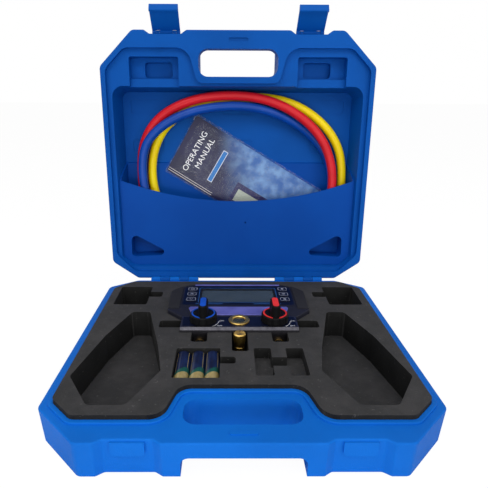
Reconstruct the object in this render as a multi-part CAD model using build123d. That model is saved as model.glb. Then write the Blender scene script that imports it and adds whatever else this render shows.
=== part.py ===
from build123d import *
from math import pi, radians, tan
import os

# Digital refrigerant manifold gauge in its carrying case: a blow-moulded case with a foam
# insert, the gauge seated in the foam, three charging hoses and the manual in the lid's pocket.
# Millimetres. Origin at the middle of the case's underside, +X right, +Y to the hinges, +Z up.
# In plan a point is (x, distance forward of the case's back face). Lid pieces are drawn as if
# the lid were shut, then turned open about the hinge.

# ---- case -----------------------------------------------------------------------------------
CASE_WIDTH = 350.0
CASE_DEPTH = 323.0
BASE_HEIGHT = 34.0
LID_HEIGHT = 49.5
DRAFT = 3.0
BACK_CHAMFER_X = 35.0
BACK_CHAMFER_Y = 24.0
FRONT_CHAMFER = 42.5
CORNER_RADIUS = 9.0
EDGE_RADIUS = 1.6
HANDLE_HOLE_WIDTH = 100.4
HANDLE_HOLE_DEPTH = 32.6
HANDLE_BAR = 21.6
HANDLE_HOLE_RADIUS = 12.0
HANDLE_THICK = 15.0
RIB_LENGTH = 23.0
RIB_WIDTH = 3.0
RIB_HEIGHT = 1.2
RIM_GAP = 0.3

# ---- foam insert ----------------------------------------------------------------------------
RIM_SIDE = 11.5
RIM_BACK = 19.0
RIM_FRONT = 25.5
FOAM_CHAMFER = 22.0
SHOULDER_X = 67.0
SHOULDER_LEAN = 11.0
HANDLE_WALL = 12.8
FOAM_PROUD = 6.0
CASE_FLOOR = 4.0
POCKET_DEPTH = 32.0
FOAM_GAP = 0.4
RIDGE_WIDTH = 4.5
RIDGE_BACK = 10.5
RIDGE_HEIGHT = 2.0
GROOVE_GAP = 0.5
GROOVE_DEPTH = 6.6

# ---- hinge ----------------------------------------------------------------------------------
OPEN_ANGLE = 94.0
HINGE_STANDOFF = 2.0
HINGE_RADIUS = 4.5
HINGE_INSET = 87.0
KNUCKLES = 5
KNUCKLE_LENGTH = 13.0
KNUCKLE_GAP = 0.4
PIN_RADIUS = 1.5
PIN_GAP = 0.05
NOTCH_GAP = 0.5

# ---- latches --------------------------------------------------------------------------------
LATCH_INSET = 84.0
LATCH_BAY = 39.5
LATCH_BAY_DEPTH = 4.5
BAY_SLOPE = 6.5
LATCH_WIDTH = 35.0
LATCH_THICK = 2.6
LATCH_AXIS_UP = 16.0
LATCH_STANDOFF = 3.4
LATCH_BARREL = 3.0
LATCH_REST_ANGLE = 42.0
LATCH_PIN_RADIUS = 1.1
LUG_WIDTH = 4.0
PAD_WIDTH = 27.0
PAD_HEIGHT = 14.5
PAD_PROUD = 2.0
LIP_LENGTH = 3.2
LIP_GAP = 0.6

# ---- lid cavity and hose pocket -------------------------------------------------------------
LID_WALL = 3.3
LID_CAVITY_BACK = 16.0
LID_CAVITY_FRONT = 65.0
LID_CAVITY_SIDE = 12.5
CAVITY_DRAFT = 7.0
TRAY_FACE = 13.3
TRAY_WALL = 2.0
TRAY_GAP = 0.3
TRAY_SAG = 108.4
TRAY_SHOULDER = 138.0
TRAY_TOP = 160.0
WELL_DEPTH = 24.0
WELL_WALL = 1.5
SCREW_HOLE_RADIUS = 1.1

# ---- gauge ----------------------------------------------------------------------------------
GAUGE_GAP = 0.4
GAUGE_DEPTH = 26.0
GAUGE_TOP = 10.6
GAUGE_SPLIT = -6.0
GAUGE_WALL = 2.4
SCREEN_WIDTH = 95.0
SCREEN_BACK = 53.5
SCREEN_FRONT = 94.0
POST_X = 52.0
POST_BACK = 60.0
POST_FRONT = 112.0
LABEL_THICK = 0.6
KEY_X = 58.0
KEY_WIDTH = 12.0
KEY_LENGTH = 10.5
KEY_PITCH = 15.5
KEY_MIDDLE = 72.0
KEY_PROUD = 1.0
KEY_TRAVEL = 0.8
KEY_GAP = 0.25
BOARD_THICK = 1.6
BOARD_LEVEL = 1.0
TRIM_THICK = 0.8
BLOCK_WIDTH = 130.0
BLOCK_BACK = 133.0
BLOCK_DEPTH = 28.0
BLOCK_HEIGHT = 32.0
BLOCK_TOP = 11.0
KNOB_INSET = 25.0
KNOB_Y = 143.0
KNOB_RADIUS = 15.5
KNOB_SKIRT = 8.5
KNOB_GAP = 0.9
GRIP_WIDTH = 11.0
GRIP_LENGTH = 27.0
GRIP_TOP = 34.0
STEM_RADIUS = 4.0
SIGHT_RADIUS = 11.8
SIGHT_BORE = 7.0
SIGHT_PROUD = 1.6
PORT_INSET = 21.5
PORT_RADIUS = 6.2
PORT_LENGTH = 18.0
PORT_LEVEL = -8.0
CENTRE_PORT_FORWARD = 7.0
CENTRE_PORT_RADIUS = 6.75
CENTRE_PORT_TOP = 9.5

# ---- batteries, manual and hoses ------------------------------------------------------------
CELL_RADIUS = 7.25
CELL_LENGTH = 50.5
CELLS = 3
CELL_PITCH = 14.6
CELL_DEPTH = 16.3
MANUAL_LENGTH = 204.0
MANUAL_WIDTH = 86.0
MANUAL_THICK = 2.4
MANUAL_ANGLE = -30.5
SLEEVE_WALL = 0.3
HOSE_RADIUS = 6.0
FERRULE_RADIUS = 6.7
FERRULE_LENGTH = 18.0
NUT_RADIUS = 8.0
NUT_LENGTH = 19.0
NOSE_LENGTH = 26.0
FRONT_LAYER = 21.7
BACK_LAYER = 37.6
FRONT_END_LAYER = 22.6
BACK_END_LAYER = 35.8

HALF = CASE_WIDTH / 2
BACK = CASE_DEPTH / 2
HINGE_X = HALF - HINGE_INSET
LATCH_X = HALF - LATCH_INSET
HANDLE_HOLE_BACK = CASE_DEPTH - HANDLE_BAR - HANDLE_HOLE_DEPTH
RIM = BASE_HEIGHT
LID_RIM = RIM + RIM_GAP
FOAM_TOP = RIM + FOAM_PROUD
POCKET_FLOOR = FOAM_TOP - POCKET_DEPTH
KNOB_X = BLOCK_WIDTH / 2 - KNOB_INSET
PORT_X = BLOCK_WIDTH / 2 - PORT_INSET
HINGE_Y = BACK + HINGE_STANDOFF
LID_FLOOR = LID_HEIGHT - LID_WALL
BIG = 2 * CASE_WIDTH

os.makedirs("parts", exist_ok=True)


def save(name, *solids):
    """Write one node."""
    shape = solids[0] if len(solids) == 1 else Compound(children=[s for s in solids])
    shape.label = name
    export_step(shape, f"parts/{name}.step")


def plan(points, level=0.0):
    """A face in plan from its corners, each (x, distance forward, corner radius)."""
    corners = [(x, BACK - forward) for x, forward, _ in reversed(points)]
    radii = [r for _, _, r in reversed(points)]
    edges = FilletPolyline(*corners, radius=radii, close=True)
    return Pos(0, 0, level) * make_face(edges.edges())


def both(half):
    """The corners of a symmetric outline, from its right half, back to front."""
    return half + [(-x, forward, r) for x, forward, r in reversed(half)]


def flip(points):
    """The same corners on the left side."""
    return [(-x, forward, r) for x, forward, r in reversed(points)]


def bar(x0, x1, back, front, z0, z1, radius=0.0):
    """A block in plan between two x, two distances forward and two heights."""
    corners = [(x0, back, radius), (x1, back, radius), (x1, front, radius), (x0, front, radius)]
    return extrude(plan(corners, z0), z1 - z0)


def shut(level):
    """Height of a point of the shut lid, from its depth into the lid."""
    return LID_RIM + level


def opened(shape):
    """Turn a piece of the shut lid to the open rest position."""
    hinge = Axis((0, HINGE_Y, RIM), (1, 0, 0))
    return shape.rotate(hinge, -OPEN_ANGLE)


# ---- outlines shared by the base and the lid --------------------------------------------------
BAY_EDGE = LATCH_X + LATCH_BAY / 2
BAY_INNER = LATCH_X - LATCH_BAY / 2
BAY_FACE = CASE_DEPTH - LATCH_BAY_DEPTH

CASE_OUTLINE = both(
    [
        (HALF - BACK_CHAMFER_X, 0, CORNER_RADIUS),
        (HALF, BACK_CHAMFER_Y, CORNER_RADIUS),
        (HALF, CASE_DEPTH - FRONT_CHAMFER, CORNER_RADIUS),
        (HALF - FRONT_CHAMFER, CASE_DEPTH, CORNER_RADIUS),
        (BAY_EDGE + BAY_SLOPE, CASE_DEPTH, CORNER_RADIUS / 2),
        (BAY_EDGE, BAY_FACE, 2.5),
        (BAY_INNER, BAY_FACE, 2.5),
        (BAY_INNER - BAY_SLOPE, CASE_DEPTH, CORNER_RADIUS / 2),
    ]
)


def well_outline(back):
    """The foam's outline, with its back edge where asked."""
    side = HALF - RIM_SIDE
    front = CASE_DEPTH - RIM_FRONT
    return both(
        [
            (side - FOAM_CHAMFER, back, CORNER_RADIUS),
            (side, back + FOAM_CHAMFER, CORNER_RADIUS),
            (side, front - FOAM_CHAMFER, CORNER_RADIUS),
            (side - FOAM_CHAMFER, front, CORNER_RADIUS),
            (SHOULDER_X, front, 1.7 * CORNER_RADIUS),
            (SHOULDER_X - SHOULDER_LEAN, HANDLE_HOLE_BACK - HANDLE_WALL, 1.7 * CORNER_RADIUS),
        ]
    )


def half_case(height):
    """One case half, standing on the plane z = 0 with its rim at the top."""
    body = extrude(plan(CASE_OUTLINE, height), -height, taper=DRAFT)
    body = fillet(body.faces().sort_by(Axis.Z)[-1].edges(), EDGE_RADIUS)
    hole = bar(
        -HANDLE_HOLE_WIDTH / 2,
        HANDLE_HOLE_WIDTH / 2,
        HANDLE_HOLE_BACK,
        HANDLE_HOLE_BACK + HANDLE_HOLE_DEPTH,
        -1,
        height + 1,
        HANDLE_HOLE_RADIUS,
    )
    notch_height = height - HANDLE_THICK
    notch = RectangleRounded(HANDLE_HOLE_WIDTH, 2 * notch_height, 0.6 * HANDLE_HOLE_RADIUS)
    notch_start = HANDLE_HOLE_BACK + HANDLE_HOLE_DEPTH / 2
    notch = extrude(Plane.XZ.offset(-(BACK - notch_start)) * notch, CASE_DEPTH)
    return body - hole - notch


def knuckles(first):
    """The hinge knuckles' spans along x, every second one from the first given."""
    pitch = KNUCKLE_LENGTH + KNUCKLE_GAP
    start = -(KNUCKLES * pitch - KNUCKLE_GAP) / 2
    spans = [start + pitch * i for i in range(first, KNUCKLES, 2)]
    return [(side * HINGE_X + s) for side in (-1, 1) for s in spans]


def along_x(radius, x0, length, y, z):
    """A round bar along x."""
    return Pos(x0 + length / 2, y, z) * Rot(0, 90, 0) * Cylinder(radius, length)


def hinge_pins():
    """One pin through each hinge's knuckles."""
    span = KNUCKLES * KNUCKLE_LENGTH + (KNUCKLES - 1) * KNUCKLE_GAP
    starts = [side * HINGE_X - span / 2 for side in (-1, 1)]
    return [along_x(PIN_RADIUS, x0, span, HINGE_Y, RIM) for x0 in starts]


def hinged(body, first, web_low, web_high):
    """Give a case half its own knuckles and clear it of the other half's."""
    for x0 in knuckles(1 - first):
        body -= along_x(
            HINGE_RADIUS + NOTCH_GAP, x0 - KNUCKLE_GAP, KNUCKLE_LENGTH + 2 * KNUCKLE_GAP, HINGE_Y, RIM
        )
    for x0 in knuckles(first):
        web = Pos(x0 + KNUCKLE_LENGTH / 2, HINGE_Y, 0) * Box(
            KNUCKLE_LENGTH, 2 * (HINGE_RADIUS + HINGE_STANDOFF), web_high - web_low
        )
        web = Pos(0, 0, (web_low + web_high) / 2) * web
        web = split(web, Plane.XZ.offset(-HINGE_Y), keep=Keep.TOP)
        body += along_x(HINGE_RADIUS, x0, KNUCKLE_LENGTH, HINGE_Y, RIM) + web
    return body - along_x(PIN_RADIUS + PIN_GAP, -HALF, CASE_WIDTH, HINGE_Y, RIM)


# ---- case base --------------------------------------------------------------------------------
def base_shell():
    body = half_case(BASE_HEIGHT)
    ridge_face = offset(plan(well_outline(RIDGE_BACK + RIDGE_WIDTH), RIM), RIDGE_WIDTH)
    ridge = extrude(ridge_face, RIDGE_HEIGHT)
    body += fillet(ridge.faces().sort_by(Axis.Z)[-1].edges(), 0.4 * RIDGE_HEIGHT)
    well = offset(plan(well_outline(RIM_BACK), CASE_FLOOR), FOAM_GAP)
    body -= extrude(well, RIM + 2 * RIDGE_HEIGHT - CASE_FLOOR)
    body += rib(0.0, RIB_HEIGHT)
    pad_profile = RectangleRounded(PAD_WIDTH, 2 * PAD_HEIGHT, 4)
    pad_length = LATCH_BAY_DEPTH + PAD_PROUD
    for side in (-1, 1):
        face = Plane.XZ.offset(-(BACK - BAY_FACE + LATCH_BAY_DEPTH)) * Pos(side * LATCH_X, RIM) * pad_profile
        pad = extrude(face, pad_length)
        body += split(pad, Plane.XY.offset(RIM - EDGE_RADIUS), keep=Keep.BOTTOM)
    return hinged(body, 0, RIM - HINGE_RADIUS, RIM)


def rib(gap, height):
    """The short rib on the middle of the handle; the lid's matching recess has a gap."""
    middle = CASE_DEPTH - HANDLE_BAR / 2
    reach = RIB_LENGTH / 2 + gap
    across = RIB_WIDTH / 2 + gap
    return bar(-reach, reach, middle - across, middle + across, RIM - 1, RIM + height, 0.9 * across)


# ---- gauge outline, used by its housings and by the foam -----------------------------------------
NECK_X = 67.0
GAUGE_OUTLINE = both(
    [
        (60.0, 41.0, 5.0),
        (75.0, 50.0, 6.0),
        (85.0, 62.0, 7.0),
        (84.0, 115.0, 7.0),
        (NECK_X, BLOCK_BACK - 0.2, 2.0),
    ]
)


def block_span(gap):
    """The manifold block's plan, grown by a gap."""
    reach = BLOCK_WIDTH / 2 + gap
    return (-reach, reach, BLOCK_BACK - gap, BLOCK_BACK + BLOCK_DEPTH + gap)


POCKET_FRONT = CASE_DEPTH - 38.5
LARGE_POCKET = [
    (84.6, 190.0, 12.0),
    (105.0, 112.0, 5.0),
    (125.7, 112.0, 6.0),
    (144.0, 168.0, 14.0),
    (HALF - 16.5, POCKET_FRONT - 41.5, 7.0),
    (HALF - 43.0, POCKET_FRONT, 7.0),
    (99.0, POCKET_FRONT, 7.0),
    (76.0, POCKET_FRONT - 50.5, 8.0),
]
SMALL_POCKET = (113.0, 154.0, 38.0, 91.5)
SMALL_SLOT = (97.0, 114.0, 54.0, 69.0)
SIDE_SLOT = (BLOCK_WIDTH / 2 - 1, 90.0, 134.0, 150.0)
CELL_ROW_X = -42.6
CELL_BACK = 194.3
CELL_SLOT = (CELL_ROW_X + CELLS * CELL_PITCH / 2 - 1, -5.0, 210.0, 222.0)
ADAPTER_LEGS = ((13.5, 31.0, 194.0, 242.0), (46.0, 64.0, 194.0, 242.0))
ADAPTER_BRIDGE = (30.0, 47.0, 211.0, 226.0)
ADAPTER_DEPTH = 12.0
CENTRE_SLOT = (-8.5, 8.5, 150.0, 199.5)


FOAM_SIDE_CUT = 90.0
FOAM_CROSS_CUT = 142.0


def foam_sheet(low, high):
    """All of the foam between two heights, before its pockets."""
    return extrude(plan(well_outline(RIM_BACK), low), high - low)


def foam_insert():
    """The foam over the bottom sheet, with its die-cut pockets."""
    body = foam_sheet(POCKET_FLOOR, FOAM_TOP)
    over = FOAM_TOP + 1

    def cut(span, floor, radius=3.0):
        return bar(*span, floor, over, radius)

    for mirror_x in (1, -1):
        corners = LARGE_POCKET if mirror_x > 0 else flip(LARGE_POCKET)
        body -= extrude(plan(corners, POCKET_FLOOR), over - POCKET_FLOOR)
        for x0, x1, back, front in (SMALL_POCKET, SMALL_SLOT, SIDE_SLOT):
            low, high = sorted((mirror_x * x0, mirror_x * x1))
            body -= cut((low, high, back, front), POCKET_FLOOR)
        middle = mirror_x * PORT_X
        reach = PORT_RADIUS + 2.5
        port_front = BLOCK_BACK + BLOCK_DEPTH + PORT_LENGTH + 2
        body -= cut((middle - reach, middle + reach, BLOCK_BACK + 1, port_front), POCKET_FLOOR)
    body -= extrude(offset(plan(GAUGE_OUTLINE, POCKET_FLOOR), GAUGE_GAP), over - POCKET_FLOOR)
    body -= cut(block_span(GAUGE_GAP), POCKET_FLOOR, 0.5)
    body -= cut(CENTRE_SLOT, POCKET_FLOOR)
    row = CELLS * CELL_PITCH / 2 + GAUGE_GAP
    cell_floor = FOAM_TOP - CELL_DEPTH
    front = CELL_BACK + CELL_LENGTH + 2 * GAUGE_GAP
    body -= cut((CELL_ROW_X - row, CELL_ROW_X + row, CELL_BACK, front), cell_floor, 1.5)
    body -= cut(CELL_SLOT, cell_floor)
    for span in (*ADAPTER_LEGS, ADAPTER_BRIDGE):
        body -= cut(span, FOAM_TOP - ADAPTER_DEPTH, 2.0)
    return body


def foam_parts():
    """The pocketed foam as five blocks that meet at plain cuts."""
    whole = foam_insert()
    side, cross, low, high = FOAM_SIDE_CUT, FOAM_CROSS_CUT, POCKET_FLOOR, FOAM_TOP
    spans = {
        "foam_left": (-HALF, -side, 0, CASE_DEPTH),
        "foam_right": (side, HALF, 0, CASE_DEPTH),
        "foam_back": (-side, side, 0, cross),
        "foam_front_left": (-side, 0, cross, CASE_DEPTH),
        "foam_front_right": (0, side, cross, CASE_DEPTH),
    }
    return {name: whole & bar(*span, low, high) for name, span in spans.items()}


# ---- lid --------------------------------------------------------------------------------------
WELL_INNER = LATCH_X - 15.0
WELL_OUTER = LATCH_X + 48.0
LATCH_WELL = (WELL_INNER, WELL_OUTER, CASE_DEPTH - 56.0, CASE_DEPTH - 30.0)
LATCH_WELL_DEEP = (WELL_INNER + 9.0, WELL_OUTER - 18.0, CASE_DEPTH - 54.0, CASE_DEPTH - 35.0)
LATCH_WELL_LEDGE = (WELL_INNER, WELL_OUTER, CASE_DEPTH - 68.0, CASE_DEPTH - 55.0)
FLOOR_PANELS = ((105.0, 147.0, 224.5, 244.0), (103.0, 146.0, 172.0, 190.5))
CENTRE_PANELS = ((-21.0, 21.0, 224.0, 233.0), (-21.0, 21.0, 175.0, 190.0))
PANEL_DEPTH = 1.4


def cavity_outline():
    side = HALF - LID_CAVITY_SIDE
    back = LID_CAVITY_BACK
    return both(
        [
            (side - 14.5, back, 9.0),
            (side, back + 12.5, 9.0),
            (side, CASE_DEPTH - LID_CAVITY_FRONT, 14.0),
        ]
    )


def lid_cavity(inset, deep):
    """The lid's tapered main hollow, from the groove's floor inwards, less an inset all round."""
    face = plan(cavity_outline(), shut(GROOVE_DEPTH))
    face = offset(face, -inset) if inset else face
    return extrude(face, deep - GROOVE_DEPTH, taper=CAVITY_DRAFT)


def slab(low, high):
    """All of the shut lid between two depths."""
    return Pos(0, 0, (shut(low) + shut(high)) / 2) * Box(BIG, BIG, high - low)


def lid_shell():
    half = mirror(half_case(LID_HEIGHT), Plane.XY)
    body = Pos(0, 0, LID_RIM + LID_HEIGHT) * half
    groove = offset(plan(well_outline(RIDGE_BACK + RIDGE_WIDTH), LID_RIM), RIDGE_WIDTH + GROOVE_GAP)
    body -= extrude(groove, GROOVE_DEPTH) + extrude(groove, -RIM_GAP)
    body -= lid_cavity(0.0, LID_FLOOR)
    body -= rib(GROOVE_GAP, RIB_HEIGHT + 2 * GROOVE_GAP)
    for x0, x1, back, front in FLOOR_PANELS:
        for low, high in ((x0, x1), (-x1, -x0)):
            body -= bar(low, high, back, front, shut(LID_FLOOR) - 1, shut(LID_FLOOR + PANEL_DEPTH), 4)
    for span in CENTRE_PANELS:
        body -= bar(*span, shut(LID_FLOOR) - 1, shut(LID_FLOOR + PANEL_DEPTH), 3)
    wells = ((LATCH_WELL, 22.0, 3.0), (LATCH_WELL_DEEP, 32.0, 4.0), (LATCH_WELL_LEDGE, 14.0, 1.0))
    for (x0, x1, back, front), deep, radius in wells:
        for low, high in ((x0, x1), (-x1, -x0)):
            body -= bar(low, high, back, front, shut(GROOVE_DEPTH) - 1, shut(deep), radius)
    for side in (-1, 1):
        for place in (-1, 1):
            body += lug(side * LATCH_X + place * LUG_X)
    return hinged(body, 1, LID_RIM, RIM + HINGE_RADIUS)


# ---- latches ----------------------------------------------------------------------------------
LATCH_Y = BACK - (BAY_FACE + LATCH_STANDOFF)
LATCH_Z = shut(LATCH_AXIS_UP)
LUG_X = LATCH_WIDTH / 2 - 7.0


def lug(middle):
    """A lid lug that carries a latch pin, reaching from the bay's wall."""
    root = LATCH_STANDOFF + LATCH_BAY_DEPTH
    round_end = along_x(LATCH_BARREL - 0.2, middle - LUG_WIDTH / 2, LUG_WIDTH, LATCH_Y, LATCH_Z)
    arm = Pos(middle, LATCH_Y + root / 2, LATCH_Z) * Box(LUG_WIDTH, root, 2 * LATCH_BARREL - 0.4)
    hole = along_x(LATCH_PIN_RADIUS + PIN_GAP, middle - LUG_WIDTH, 2 * LUG_WIDTH, LATCH_Y, LATCH_Z)
    return round_end + arm - hole


def latch(side):
    """A latch flap: barrel, plate and the lip that hooks under the base's pad, drawn closed."""
    inner = LATCH_Y - 0.3
    outer = inner - LATCH_THICK
    lip_top = RIM - PAD_HEIGHT - LIP_GAP
    lip_low = lip_top - LATCH_THICK
    profile = Polyline(
        (inner, LATCH_Z),
        (inner, lip_top),
        (inner + LIP_LENGTH, lip_top),
        (inner + LIP_LENGTH, lip_low + 0.8),
        (inner + LIP_LENGTH - 0.8, lip_low),
        (outer - 2.2, lip_low - 1.6),
        (outer - 3.2, lip_low + 0.2),
        (outer, lip_top + 3.0),
        (outer, LATCH_Z),
        close=True,
    )
    x0 = side * LATCH_X - LATCH_WIDTH / 2
    plate = extrude(Plane.YZ.offset(x0) * make_face(profile.edges()), LATCH_WIDTH)
    body = plate + along_x(LATCH_BARREL, x0, LATCH_WIDTH, LATCH_Y, LATCH_Z)
    for place in (-1, 1):
        middle = side * LATCH_X + place * LUG_X
        body -= along_x(
            LATCH_BARREL + 0.5, middle - LUG_WIDTH / 2 - 0.4, LUG_WIDTH + 0.8, LATCH_Y, LATCH_Z
        )
    body -= along_x(LATCH_PIN_RADIUS + PIN_GAP, x0 - 1, LATCH_WIDTH + 2, LATCH_Y, LATCH_Z)
    pivot = Axis((0, LATCH_Y, LATCH_Z), (1, 0, 0))
    return body.rotate(pivot, -LATCH_REST_ANGLE)


def latch_pins():
    start = LATCH_X - LATCH_WIDTH / 2 + 0.5
    length = LATCH_WIDTH - 1.0
    spots = (start, -start - length)
    return [along_x(LATCH_PIN_RADIUS, x0, length, LATCH_Y, LATCH_Z) for x0 in spots]


# ---- hose pocket ------------------------------------------------------------------------------
WELL_CORNERS = [(HALF - 83.7, 31.6, 5.0), (HALF - 25.0, 28.4, 5.0), (HALF - 25.5, 63.5, 7.0)]
TRAY_SCREW_X = 12.0
TRAY_SCREW_FORWARD = 78.5


def hose_pocket():
    """The moulded tray that holds the hoses: face, floor, side flanges, back sheet, two wells."""
    body = lid_cavity(TRAY_GAP, LID_FLOOR) - slab(-1, TRAY_FACE)
    hollow = lid_cavity(TRAY_GAP + TRAY_WALL, LID_FLOOR)
    hollow = hollow - slab(-1, TRAY_FACE + TRAY_WALL) - slab(LID_FLOOR - TRAY_WALL, LID_FLOOR + 1)
    body -= hollow
    slope = Polyline(
        (BACK - TRAY_SHOULDER, shut(TRAY_FACE - 1)),
        (BACK - TRAY_TOP, shut(LID_FLOOR + 1)),
        (-CASE_DEPTH, shut(LID_FLOOR + 1)),
        (-CASE_DEPTH, shut(TRAY_FACE - 1)),
        close=True,
    )
    body -= extrude(Plane.YZ * make_face(slope.edges()), CASE_WIDTH, both=True)
    reach = HALF - RIM_SIDE
    left, right = (-reach, BACK - TRAY_SHOULDER), (reach, BACK - TRAY_SHOULDER)
    sag = ThreePointArc(left, (0, BACK - TRAY_SAG), right)
    above = Polyline(right, (reach, -CASE_DEPTH), (-reach, -CASE_DEPTH), left)
    window = Pos(0, 0, shut(TRAY_FACE - 1)) * make_face([*sag.edges(), *above.edges()])
    body -= extrude(window, TRAY_WALL + 1)
    for corners in (WELL_CORNERS, flip(WELL_CORNERS)):
        mouth = plan(corners, shut(TRAY_FACE - 1))
        wall = offset(plan(corners, shut(TRAY_FACE)), WELL_WALL)
        body += extrude(wall, LID_FLOOR - TRAY_WALL / 2 - TRAY_FACE)
        body -= extrude(mouth, WELL_DEPTH + 1)
    screw = Pos(TRAY_SCREW_X, BACK - TRAY_SCREW_FORWARD, shut(TRAY_FACE))
    return body - screw * Cylinder(SCREW_HOLE_RADIUS, 3 * TRAY_WALL)


# ---- hoses ------------------------------------------------------------------------------------
# Each route runs from one fitting to the other: (x, distance forward, depth into the lid).
RED_ROUTE = [
    (-45, 32, BACK_END_LAYER),
    (-66, 32.2, BACK_END_LAYER),
    (-88, 39.8, BACK_LAYER),
    (-114, 56, BACK_LAYER),
    (-132, 90, BACK_LAYER),
    (-135.5, 140, BACK_LAYER),
    (-132, 186, 36),
    (-108, 221, 31),
    (-64, 242.5, 25),
    (-14, 249, 24),
    (38, 244.5, 24),
    (84, 224, 24),
    (117, 193, 24),
    (133.5, 152, 24),
    (132.5, 106, 22.5),
    (110, 71, FRONT_LAYER),
    (76, 55.5, FRONT_LAYER),
    (30, 54, FRONT_LAYER),
    (-14, 54.4, FRONT_LAYER),
    (-36, 54, FRONT_END_LAYER),
]
YELLOW_ROUTE = [
    (-16, 64.6, BACK_END_LAYER),
    (-44, 65, BACK_END_LAYER),
    (-74, 68, BACK_LAYER),
    (-98, 83, BACK_LAYER),
    (-116, 110, BACK_LAYER),
    (-121, 146, BACK_LAYER),
    (-115, 182, BACK_LAYER),
    (-96, 213, 37),
    (-58, 235, 37),
    (-12, 244, 37),
    (36, 247.3, 37),
    (80, 238, 37),
    (119, 213, 37),
    (142, 182, 37),
    (149.5, 148, BACK_LAYER),
    (148.5, 107, BACK_LAYER),
    (124, 61, BACK_LAYER),
    (88, 39.8, BACK_LAYER),
    (67, 32.2, BACK_END_LAYER),
    (46, 32, BACK_END_LAYER),
]
BLUE_ROUTE = [
    (40, 75, 22.8),
    (14, 75, FRONT_LAYER),
    (-20, 73.8, FRONT_LAYER),
    (-52, 75, FRONT_LAYER),
    (-84, 76.5, FRONT_LAYER),
    (-112, 90, FRONT_LAYER),
    (-128, 114, 22.5),
    (-131.8, 148, 24),
    (-127.5, 183, 24),
    (-105, 208, 24),
    (-68, 226.5, 24),
    (-22, 235, 24),
    (23, 234, 26),
    (66, 221, 33),
    (103, 198, 37),
    (127, 168, 37),
    (136, 135, 37),
    (133, 106, BACK_LAYER),
    (113.5, 71.5, 36.5),
    (81, 51.5, 33.8),
    (52, 48.5, 33.8),
    (18, 48.3, 34.3),
]


def spots(route):
    """A route's points in the shut lid."""
    return [Vector(x, BACK - forward, shut(deep)) for x, forward, deep in route]


def hose_line(route):
    """Straight runs joined by tangent arcs as large as the runs allow."""
    points = spots(route)
    runs = [b - a for a, b in zip(points, points[1:])]
    radii = []
    for before, after in zip(runs, runs[1:]):
        turn = radians(before.get_angle(after))
        radii.append(0.45 * min(before.length, after.length) / tan(turn / 2))
    return FilletPolyline(*points, radius=radii), radii


def hose(name, route):
    """One hose as a round tube along its route."""
    line, radii = hose_line(route)
    start = Plane(origin=line @ 0, z_dir=line % 0)
    tube = sweep(start * Circle(HOSE_RADIUS), path=line.wire())
    total = line.length + 2 * (FERRULE_LENGTH + NOSE_LENGTH)
    expected = line.length * pi * HOSE_RADIUS**2
    print(name, "tube", round(line.length), "with fittings", round(total), end=" ")
    print("volume share", round(tube.volume / expected, 4), "radii", [round(r) for r in radii])
    return tube


def hose_end_planes(route):
    """The planes where a hose's two fittings start, each facing away from the hose."""
    points = spots(route)
    ends = ((points[0], points[0] - points[1]), (points[-1], points[-1] - points[-2]))
    return [Plane(origin=place, z_dir=way) for place, way in ends]


NOSE_RADIUS = 3.6
COLLAR_RADIUS = 6.0
COLLAR_LENGTH = 3.0
NUT_START = FERRULE_LENGTH + 4.0
NUT_FLOOR = 2.5


def revolved(profile):
    """Turn a closed profile of (radius, height) points about the local z axis."""
    face = make_face(Polyline(*[(r, h) for r, h in profile], close=True).edges())
    return revolve(Plane.XZ * face, Axis.Z)


def hose_end(plane):
    """Crimped ferrule with a barbed nose and the collar that holds the nut."""
    collar_low = NUT_START + NUT_FLOOR + 0.2
    profile = [
        (0, 0),
        (FERRULE_RADIUS - 0.8, 0),
        (FERRULE_RADIUS, 0.8),
        (FERRULE_RADIUS, 3.0),
        (FERRULE_RADIUS - 0.6, 4.0),
        (FERRULE_RADIUS - 0.6, 13.0),
        (FERRULE_RADIUS, 14.0),
        (FERRULE_RADIUS, FERRULE_LENGTH),
        (NOSE_RADIUS, FERRULE_LENGTH),
        (NOSE_RADIUS, collar_low),
        (COLLAR_RADIUS, collar_low),
        (COLLAR_RADIUS, collar_low + COLLAR_LENGTH),
        (NOSE_RADIUS, collar_low + COLLAR_LENGTH + 2.4),
        (0, collar_low + COLLAR_LENGTH + 2.4),
    ]
    return plane * revolved(profile)


def hose_nut(plane):
    """Knurled swivel nut, free to turn on the hose's nose."""
    inner = COLLAR_RADIUS + 0.3
    top = NUT_START + NUT_LENGTH
    profile = [
        (NOSE_RADIUS + PIN_GAP, NUT_START),
        (NUT_RADIUS - 1, NUT_START),
        (NUT_RADIUS, NUT_START + 1),
        (NUT_RADIUS, NUT_START + 7),
        (NUT_RADIUS - 0.7, NUT_START + 7.7),
        (NUT_RADIUS - 0.7, NUT_START + 9.3),
        (NUT_RADIUS, NUT_START + 10),
        (NUT_RADIUS, top - 1),
        (NUT_RADIUS - 1, top),
        (inner, top),
        (inner, NUT_START + NUT_FLOOR),
        (NOSE_RADIUS + PIN_GAP, NUT_START + NUT_FLOOR),
    ]
    return plane * revolved(profile)


# ---- manual -----------------------------------------------------------------------------------
MANUAL_X = 10.0
MANUAL_FORWARD = 134.0


def manual_plane(level):
    middle = Pos(MANUAL_X, BACK - MANUAL_FORWARD, shut(level))
    return middle * Rot(0, 0, -MANUAL_ANGLE)


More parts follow.
